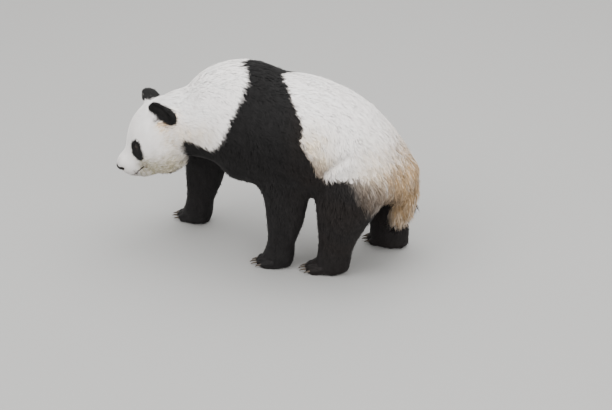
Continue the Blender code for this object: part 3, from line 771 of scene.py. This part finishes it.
def unwrapped(name, p):
    """Where each root lies on its region's unwrap: round the region and along it."""
    if "leg" in name or "tail" in name:
        centre = (p.min(0) + p.max(0)) / 2
        turn, along = np.arctan2(p[:, 1] - centre[1], p[:, 0] - centre[0]), p[:, 2]
    elif "head" in name or "ear" in name:
        h = to_head(p)
        middle = (h.min(0) + h.max(0)) / 2
        turn, along = np.arctan2(h[:, 1] - middle[1], h[:, 2] - middle[2]), h[:, 0]
    elif "paws" in name:
        which = (p[:, 1] > 0) + 2.0 * (p[:, 0] > 0.24) * (p[:, 1] < 0) + 2.0 * (p[:, 0] > 0) * (p[:, 1] > 0)
        local = p[:, 0] * 1.2 % 0.25
        return np.c_[(which + 0.04 + 0.92 * (local / 0.25)) / 4,
                     0.02 + 0.96 * ((np.abs(p[:, 1]) - 0.07) / 0.16 * 0.5 + p[:, 2] / PAW_TOP * 0.5)]
    else:
        turn, along = np.arctan2(p[:, 1], p[:, 2] - 0.56), p[:, 0]
    u = (turn + math.pi) / math.tau
    v = (along - along.min()) / max(np.ptp(along), 1e-6)
    return np.c_[0.005 + 0.99 * u, 0.005 + 0.99 * v]


# A tuft: its three lines, across and up; its two rings, by how far along, high and wide; and its faces
SECTION = np.array(((-1.0, 0.0), (1.0, 0.0), (0.0, 1.0)))
RINGS = ((-0.1, -0.3, 0.85), (0.4, 0.8, 1.0))
TUFT_FACES = np.array((
    (0, 2, 1), (0, 1, 4), (0, 4, 3), (1, 2, 5), (1, 5, 4), (2, 0, 3), (2, 3, 5), (3, 4, 6), (4, 5, 6),
    (5, 3, 6)))
UV_PATCH = np.array(((-1, -1), (1, -1), (0, 1), (-0.7, -0.2), (0.7, -0.2), (0, 0.9), (0, 0.2))) * 0.0015
TUFTS_A_PIECE = 19000
STRAYS = 0.14, 0.03  # the share of tufts that stand off, on the legs and elsewhere
# The least and most of what differs between tufts, and the spread of what varies round a middle
LIFTS, STRAY_LIFTS, LENGTHS, WIDTHS = (0.55, 1.0), (1.1, 1.9), (0.78, 1.18), (0.75, 1.15)
SWAY, CURL_SPREAD, TINT_SPREAD, BLACK_SPREAD, WHITE_SPREAD = 0.08, 0.18, 0.0022, 0.16, 0.018
TIP_HIGH = 0.62  # out of the coat's depth
TINT_FROM = 0.8  # how far along a tuft its colour is that of the markings
LOW_COAT = 0.42  # the legs and belly are below this
ON_FLOOR = 0.0004  # the lowest that a tuft may reach
CURL_BEND = 0.62
CLUMPED, CLUMPED_RUMP, CLUMP = 0.2, 0.5, 9  # how far tufts lean to their clump's tip, and how many do
TUFT_WIDTH = 0.42  # out of the mean way between tufts
STREAKED = 0.35  # the share of tufts that are brighter where the coat is stained, and by how much


def tuft_mesh(name, at, normal, way, length, depth, width, tint, root_shade_and_tone, uv):
    """One closed three-sided lock for each root, which rises, bends over and comes to a point."""
    count = len(at)
    side = unit(np.cross(normal, way))
    lift = RNG.uniform(*LIFTS, count)
    stray = RNG.random(count) < np.where((at[:, 2] < LOW_COAT) & ("head" not in name), *STRAYS)
    lift[stray] *= RNG.uniform(*STRAY_LIFTS, stray.sum())
    sway = RNG.normal(0, SWAY, count)
    along = unit(way + side * sway[:, None])
    points = np.empty((count, 7, 3))
    shade = np.empty((count, 7, 3))
    for r, (far, high, wide) in enumerate(RINGS):
        centre = at + along * (far * length)[:, None] + normal * (high * lift * depth)[:, None]
        for k, (across, up) in enumerate(SECTION):
            spread = side * (across * wide * width)[:, None] + normal * (up * wide * width * 0.5)[:, None]
            points[:, 3 * r + k] = centre + spread
            shade[:, 3 * r + k] = unit(normal + side * across * 0.22 + along * 0.08)
    bend = side * (sway * length * 0.5)[:, None]
    points[:, 6] = at + along * length[:, None] + bend + normal * (lift * depth * TIP_HIGH)[:, None]
    points[..., 2] = np.maximum(points[..., 2], ON_FLOOR)
    shade[:, 6] = unit(normal + along * 0.12)
    faces = (TUFT_FACES[None] + 7 * np.arange(count)[:, None, None]).reshape(-1, 3)
    mesh = bpy.data.meshes.new(name)
    mesh.vertices.add(count * 7)
    mesh.vertices.foreach_set("co", points.astype(np.float32).ravel())
    mesh.loops.add(faces.size)
    mesh.loops.foreach_set("vertex_index", faces.astype(np.int32).ravel())
    mesh.polygons.add(len(faces))
    mesh.polygons.foreach_set("loop_start", np.arange(0, faces.size, 3, dtype=np.int32))
    mesh.update(calc_edges=True)
    mesh.shade_smooth()
    shades = np.repeat(tint[:, None, :], 7, 1)
    # painted shade on each root ring and a painted highlight on each tip, stronger where the stained hair's own
    # roots are dark and its tips light
    shades[:, :3] *= 1 - root_shade_and_tone[:, None, None]
    shades[:, 6] *= (1 + 0.35 * root_shade_and_tone)[:, None]
    colour_by_vertex(mesh, shades.reshape(-1, 3))
    spots = (uv[:, None, :] + UV_PATCH[None]).reshape(-1, 2)
    layer = mesh.uv_layers.new(name="OFBake")
    layer.uv.foreach_set("vector", np.clip(spots[faces.ravel()], 0, 1).astype(np.float32).ravel())
    mesh.normals_split_custom_set_from_vertices(shade.reshape(-1, 3).astype(np.float32))
    return placed(name, mesh)


def clumped(at, way, length, share, tufts):
    """Ways turned by a share towards the nearest clump's tip, with so many tufts to a clump."""
    tips = at + way * length[:, None]
    chosen = RNG.permutation(len(at))[: len(at) // tufts]
    tree = KDTree(len(chosen))
    for i, k in enumerate(chosen):
        tree.insert(tips[k], i)
    tree.balance()
    nearest = np.array([tree.find(t)[1] for t in tips])
    gather = tips[chosen[nearest]] - tips
    gather -= way * (gather * way).sum(1, keepdims=True)
    return unit(way * length[:, None] + gather * share[:, None])


def make_coat(skin, material):
    at, normal = roots(skin.data)
    way, length, depth = lie(at, normal)
    rump = smooth(0.36, 0.56, at[:, 0])
    h = to_head(at)
    curl = curliness(h)
    bend = CURL_BEND * np.stack([f(at) for f in CURLS], 1) + RNG.normal(0, CURL_SPREAD, at.shape)
    way = unit(way + bend * curl[:, None])
    way = clumped(at, way, length, CLUMPED + CLUMPED_RUMP * rump, CLUMP)
    way = unit(way - normal * (way * normal).sum(1, keepdims=True))
    length = length * RNG.uniform(*LENGTHS, len(at)) * (1 + 0.3 * curl)
    spacing = 1 / np.sqrt(density(at) * COVER)
    width = TUFT_WIDTH * spacing * RNG.uniform(*WIDTHS, len(at)) * (1 + 0.35 * curl)
    on_ear = np.maximum(*(ear_weight(h, label) for label in EARS))
    middle = at + way * (TINT_FROM * length * (1 - on_ear))[:, None] + RNG.normal(0, TINT_SPREAD, at.shape)
    tint = tints(middle, normal)
    black = blackness(middle, normal)
    bright = 1 + RNG.normal(0, 1, len(at)) * np.where(black > 0.5, BLACK_SPREAD, WHITE_SPREAD)
    streak = RNG.random(len(at)) < STREAKED
    golden = smooth(0.1, 0.6, tint[:, 0] / tint[:, 2] - 1) * (black < 0.5)
    # every tuft's root carries a little painted shade and its tip a little painted highlight; stained tufts are
    # darker at the root still, as their hair is, and wider and less even
    root_shade_and_tone = 0.03 + 0.45 * golden
    width = width * (1 + 0.5 * golden)
    bright = bright * np.where(streak, 1 + STREAKED * golden, 1 - 0.1 * golden)
    tint = np.clip(tint * bright[:, None], 0.002, 0.88)
    names = regions(at)
    for name in sorted(set(names)):
        picked = np.nonzero(names == name)[0]
        uv = unwrapped(name, at[picked])
        parts = max(1, math.ceil(len(picked) / TUFTS_A_PIECE))
        order = np.argsort(at[picked, 0], kind="stable")
        for k, some in enumerate(np.array_split(order, parts)):
            chosen = picked[some]
            each = (of[chosen] for of in (at, normal, way, length, depth, width, tint, root_shade_and_tone))
            piece = tuft_mesh(name if parts == 1 else f"{name}_{k + 1}", *each, uv[some])
            piece.data.materials.append(material)
            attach(piece, "root")


# ------------ materials
def new_material(name, **sockets):
    material = bpy.data.materials.new(name)
    material.use_nodes = True
    shader = material.node_tree.nodes["Principled BSDF"]
    for key, value in sockets.items():
        shader.inputs[key.replace("_", " ")].default_value = value
    return material, material.node_tree, shader


def tinted(name, **sockets):
    material, tree, shader = new_material(name, **sockets)
    tint = tree.nodes.new("ShaderNodeAttribute")
    tint.attribute_name = "tint"
    tree.links.new(tint.outputs["Color"], shader.inputs["Base Color"])
    return material, tree, shader


def bumped(tree, shader, texture, strength, distance, **settings):
    """A bump from a texture in the object's own coordinates."""
    place = tree.nodes.new("ShaderNodeTexCoord")
    made = tree.nodes.new(texture)
    for key, value in settings.items():
        made.inputs[key].default_value = value
    bump = tree.nodes.new("ShaderNodeBump")
    bump.inputs["Strength"].default_value = strength
    bump.inputs["Distance"].default_value = distance
    tree.links.new(place.outputs["Object"], made.inputs["Vector"])
    tree.links.new(made.outputs[0], bump.inputs["Height"])
    tree.links.new(bump.outputs["Normal"], shader.inputs["Normal"])
    return made


def make_materials():
    found = {}
    found["fur"], _, _ = tinted("fur", Roughness=0.66, Specular_IOR_Level=0.16, Sheen_Weight=0.03,
                                Sheen_Roughness=0.5)
    found["skin"], tree, shader = tinted("skin", Roughness=0.75, Specular_IOR_Level=0.2)
    bumped(tree, shader, "ShaderNodeTexNoise", 0.6, 0.0012, Scale=420.0, Detail=3.0)
    found["nose"], tree, shader = tinted("nose_leather", Roughness=0.5, Specular_IOR_Level=0.16)
    bumped(tree, shader, "ShaderNodeTexVoronoi", 0.35, 0.0005, Scale=900.0)
    found["lid"], tree, shader = tinted("eyelid", Roughness=0.6, Specular_IOR_Level=0.1)
    bumped(tree, shader, "ShaderNodeTexNoise", 0.4, 0.0004, Scale=900.0)
    found["eye"], _, _ = tinted("eye", Roughness=0.06, Specular_IOR_Level=0.5)
    found["claw"], tree, shader = new_material("claw_horn", Roughness=0.42, Specular_IOR_Level=0.35)
    noise = bumped(tree, shader, "ShaderNodeTexNoise", 0.3, 0.0004, Scale=260.0, Detail=4.0)
    ramp = tree.nodes.new("ShaderNodeValToRGB")
    for stop, (place, colour) in zip(ramp.color_ramp.elements, HORN):
        stop.position, stop.color = place, colour
    tree.links.new(noise.outputs["Fac"], ramp.inputs["Fac"])
    tree.links.new(ramp.outputs["Color"], shader.inputs["Base Color"])
    return found


def paint_skin(skin, material):
    p, n = positions(skin.data), normals(skin.data)
    # the skin is painted a little darker than the coat's colour: painted shade under the hair
    colour = tints(p, n) * 0.97
    m = one_side(to_head(p))
    lips = (1 - smooth(*LIPS_DARK, to_line(m, LIPS)[0]))[:, None]
    rim = bell(np.maximum(norms(m - EYE_RIM) - RIM_DARK, 0), 0.006)[:, None]
    nose = (1 - smooth(0.95, 1.15, norms((m - NOSE) / NOSE_BARE)))[:, None]
    for share in (lips, rim, nose, on_pad(p, n)[:, None] * 1.0):
        colour = mixed(colour, BARE_SKIN, share)
    colour_by_vertex(skin.data, colour)
    skin.data.materials.append(material)


# ------------ nose, eyes and lids
def tube(rows, sides, first=0):
    """The faces between rows of points that go round a tube."""
    return [(first + r * sides + s, first + (r + 1) * sides + s, first + (r + 1) * sides + (s + 1) % sides,
             first + r * sides + (s + 1) % sides) for r in range(rows - 1) for s in range(sides)]


def sphere(rings, sides):
    """Unit directions on a sphere about -X, from its front pole, and the faces between them."""
    polar = np.linspace(0.02, math.pi - 0.02, rings)
    turn = np.arange(sides) * math.tau / sides
    a, t = np.meshgrid(polar, turn, indexing="ij")
    points = np.c_[(-np.cos(a)).ravel(), (np.sin(a) * np.sin(t)).ravel(), (np.sin(a) * np.cos(t)).ravel()]
    ends = tuple(range(sides)), tuple(range(rings * sides))[: -sides - 1: -1]
    return points, tube(rings, sides) + list(ends)


def face_piece(name, points, faces, colours, material):
    """A smooth piece of the face, from points in the head's frame."""
    piece = object_of(name, from_head(points), faces)
    colour_by_vertex(piece.data, colours)
    with opened(piece.data) as bm:
        bmesh.ops.recalc_face_normals(bm, faces=bm.faces[:])
    piece.data.shade_smooth()
    piece.data.materials.append(material)
    return piece


# The nostrils and the slits beside them: how far across the pad and up it their middles are, out of 1
NOSTRIL, SLIT, SLIT_SLOPE = (0.44, -0.05), (0.72, -0.22), 0.4
HOLE_DEEP, GROOVE_DEEP = 0.006, 0.0018


def make_nose(material):
    """A wide leather pad, narrower below, with comma nostrils and a groove down its middle."""
    points, faces = sphere(60, 96)
    front = np.clip(-points[:, 0], 0, 1)
    y, z = points[:, 1].copy(), points[:, 2].copy()
    q = points * NOSE_HALF
    q[:, 1] *= 1 - 0.34 * smooth(0.1, -1.0, z)
    q[:, 2] += 0.0035 * (1 - np.abs(y)) * smooth(0, 1, z)
    q[:, 0] -= 0.002 * (1 - z ** 2) * front
    holes = np.zeros(len(q))
    for side in (-1, 1):
        out = y * side
        hole = np.hypot((out - NOSTRIL[0]) / 0.25, (z - NOSTRIL[1]) / 0.3)
        slit = np.hypot((out - SLIT[0]) / 0.26, (z - SLIT[1] + SLIT_SLOPE * (out - SLIT[0])) / 0.13)
        deep = np.maximum(np.exp(-hole ** 4), 0.9 * np.exp(-slit ** 4))
        holes = np.maximum(holes, deep * (front > 0.1))
    groove = bell(y, 0.055) * smooth(0.25, -0.3, z) * front
    q[:, 0] += HOLE_DEEP * holes + GROOVE_DEEP * groove - NOSE_SLOPE * q[:, 2]
    # the nostrils and slits are painted darker than the leather: painted shade in the hollows
    nose = face_piece("nose_leather", q + NOSE, faces, LEATHER * (1 - 0.9 * holes)[:, None], material)
    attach(nose, "root")
    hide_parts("nose")


def gaze(side):
    """Rows: backwards from the eye, sideways and up, in the head's frame."""
    back = unit(np.array((0.8, -side * 0.58, -0.1)))
    up = np.array((0.0, 0.0, 1.0))
    up = unit(up - back * (up @ back))
    return np.array((back, np.cross(up, back), up))


CORNEA = 0.0011  # how far it stands out of the eyeball
PUPIL_HALF, IRIS_EDGE = (0.16, 0.34), (0.66, 0.74)  # out of the eye's radius; the pupil is an upright slit
RAYS = 31


def make_eye(label, side, materials):
    place = EYE * (1, side, 1)
    axes = gaze(side)
    points, faces = sphere(56, 72)
    q = points * EYE_RADIUS
    q[:, 0] -= CORNEA * smooth(0.8, 1.0, -points[:, 0])
    y, z = points[:, 1], points[:, 2]
    out = np.hypot(y, z)
    front = points[:, 0] < 0
    pupil = (1 - smooth(0.8, 1.15, np.hypot(y / PUPIL_HALF[0], z / PUPIL_HALF[1]))) * front
    iris = (1 - smooth(*IRIS_EDGE, out)) * front
    ray = 0.5 + 0.5 * np.cos(np.arctan2(z, y) * RAYS)
    colour = mixed(EYE_WHITE, IRIS * (0.55 + 0.5 * ray * (1 - out))[:, None], iris[:, None])
    colour = mixed(colour, PUPIL, pupil[:, None])
    eye = face_piece(f"eyeball_{label}", q @ axes + place, faces, colour, materials["eye"])
    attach(eye, "root")
    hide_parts(f"eye_{label}")
    make_lids(label, place, axes, materials["lid"])


OPENING = (0.72, 0.4, 0.36)  # between the lids, out of the eye's radius: half its width, and up and down
HOOD = 1.62  # how far round the eyeball the lids reach, in radians
LID_INSIDE = 0.86


def make_lids(label, place, axes, material, rows=12, sides=64):
    """A hood of skin round the eyeball, with an almond opening that has a rounded rim."""
    t, a = np.meshgrid(np.linspace(0, 1, rows), np.arange(sides) * math.tau / sides, indexing="ij")
    c, d = np.cos(a), np.sin(a)
    edge = (1 - 0.1 * np.abs(c) ** 6) / np.hypot(c / OPENING[0], d / np.where(d > 0, *OPENING[1:]))
    polar = mixed(np.arcsin(np.minimum(0.98, edge)), HOOD, t)
    radius = EYE_RADIUS + 0.0002 + 0.0014 * np.sin(np.minimum(1, t * 3.2) * math.pi / 2) - 0.0012 * t
    radius += bell(t - 0.25, 0.2, 0.0007) * np.maximum(d, 0)  # the upper lid is the fuller one
    points = np.stack((-np.cos(polar), np.sin(polar) * c, np.sin(polar) * d), -1) * radius[..., None]
    points = np.r_[points.reshape(-1, 3), points.reshape(-1, 3) * LID_INSIDE]
    total, last = rows * sides, (rows - 1) * sides
    faces = tube(rows, sides) + [quad[::-1] for quad in tube(rows, sides, total)]
    for s in range(sides):
        q = (s + 1) % sides
        faces.append((s, q, total + q, total + s))
        faces.append((last + q, last + s, total + last + s, total + last + q))
    lids = face_piece(f"eyelids_{label}", points @ axes + place, faces, np.tile(LID, (2 * total, 1)), material)
    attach(lids, "root")


# ------------ camera, floor and light
AIM = (-0.01, 0, 0.38)  # the camera looks at a point right of this and below it
AIM_RIGHT, AIM_DOWN, AWAY, LENS = 0.1583, 0.1667, 9.0, 127.06
AZIMUTH, ELEVATION = 15, 27
SKY, SKY_STRENGTH = (1.0, 0.985, 0.965, 1), 1.68
LAMPS = (("key", (-1.8, -2.4, 4.2), 3.0, 130), ("top", (0.8, 1.0, 4.6), 4.0, 165),  # name, place, size and watts
         ("fill", (3.0, -3.0, 1.8), 2.5, 70))
LAMPS_AIM = (0, 0, 0.4)
FLOOR_HALF, FLOOR_GREY = 14, (0.33, 0.33, 0.325, 1)


def stage():
    corners = [(x * FLOOR_HALF, y * FLOOR_HALF, 0) for x, y in ((-1, -1), (1, -1), (1, 1), (-1, 1))]
    floor = object_of("floor", corners, ((0, 1, 2, 3),))
    material, _, _ = new_material("studio_floor", Base_Color=FLOOR_GREY, Roughness=0.9)
    floor.data.materials.append(material)
    world = bpy.data.worlds.new("studio")
    world.use_nodes = True
    sky = world.node_tree.nodes["Background"]
    sky.inputs["Color"].default_value = SKY
    sky.inputs["Strength"].default_value = SKY_STRENGTH
    bpy.context.scene.world = world
    for name, place, size, power in LAMPS:
        light = bpy.data.lights.new(name, "AREA")
        light.size = size
        light.energy = power
        lamp = placed(name, light)
        lamp.location = place
        lamp.rotation_euler = (Vector(LAMPS_AIM) - Vector(place)).to_track_quat("-Z", "Y").to_euler()


def camera():
    azimuth, elevation = math.radians(AZIMUTH), math.radians(ELEVATION)
    back = Vector((math.sin(azimuth) * math.cos(elevation), -math.cos(azimuth) * math.cos(elevation),
                   math.sin(elevation)))
    right = Vector((0, 0, 1)).cross(back).normalized()
    up = back.cross(right)
    data = bpy.data.cameras.new("camera")
    data.sensor_width = 36
    data.lens = LENS
    made = placed("camera", data)
    place = Vector(AIM) + back * AWAY + right * AIM_RIGHT - up * AIM_DOWN
    made.matrix_world = Matrix.Translation(place) @ Matrix((right, up, back)).transposed().to_4x4()
    bpy.context.scene.camera = made


def main():
    stage()
    camera()
    materials = make_materials()
    skin = make_skin()
    paint_skin(skin, materials["skin"])
    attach(skin, "root")
    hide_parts(*FLESH)
    make_coat(skin, materials["fur"])
    make_nose(materials["nose"])
    for label, side in (("left", -1), ("right", 1)):
        make_eye(label, side, materials)
    for claw in CLAWS:
        claw.material_slots[0].link = "OBJECT"
        claw.material_slots[0].material = materials["claw"]


main()
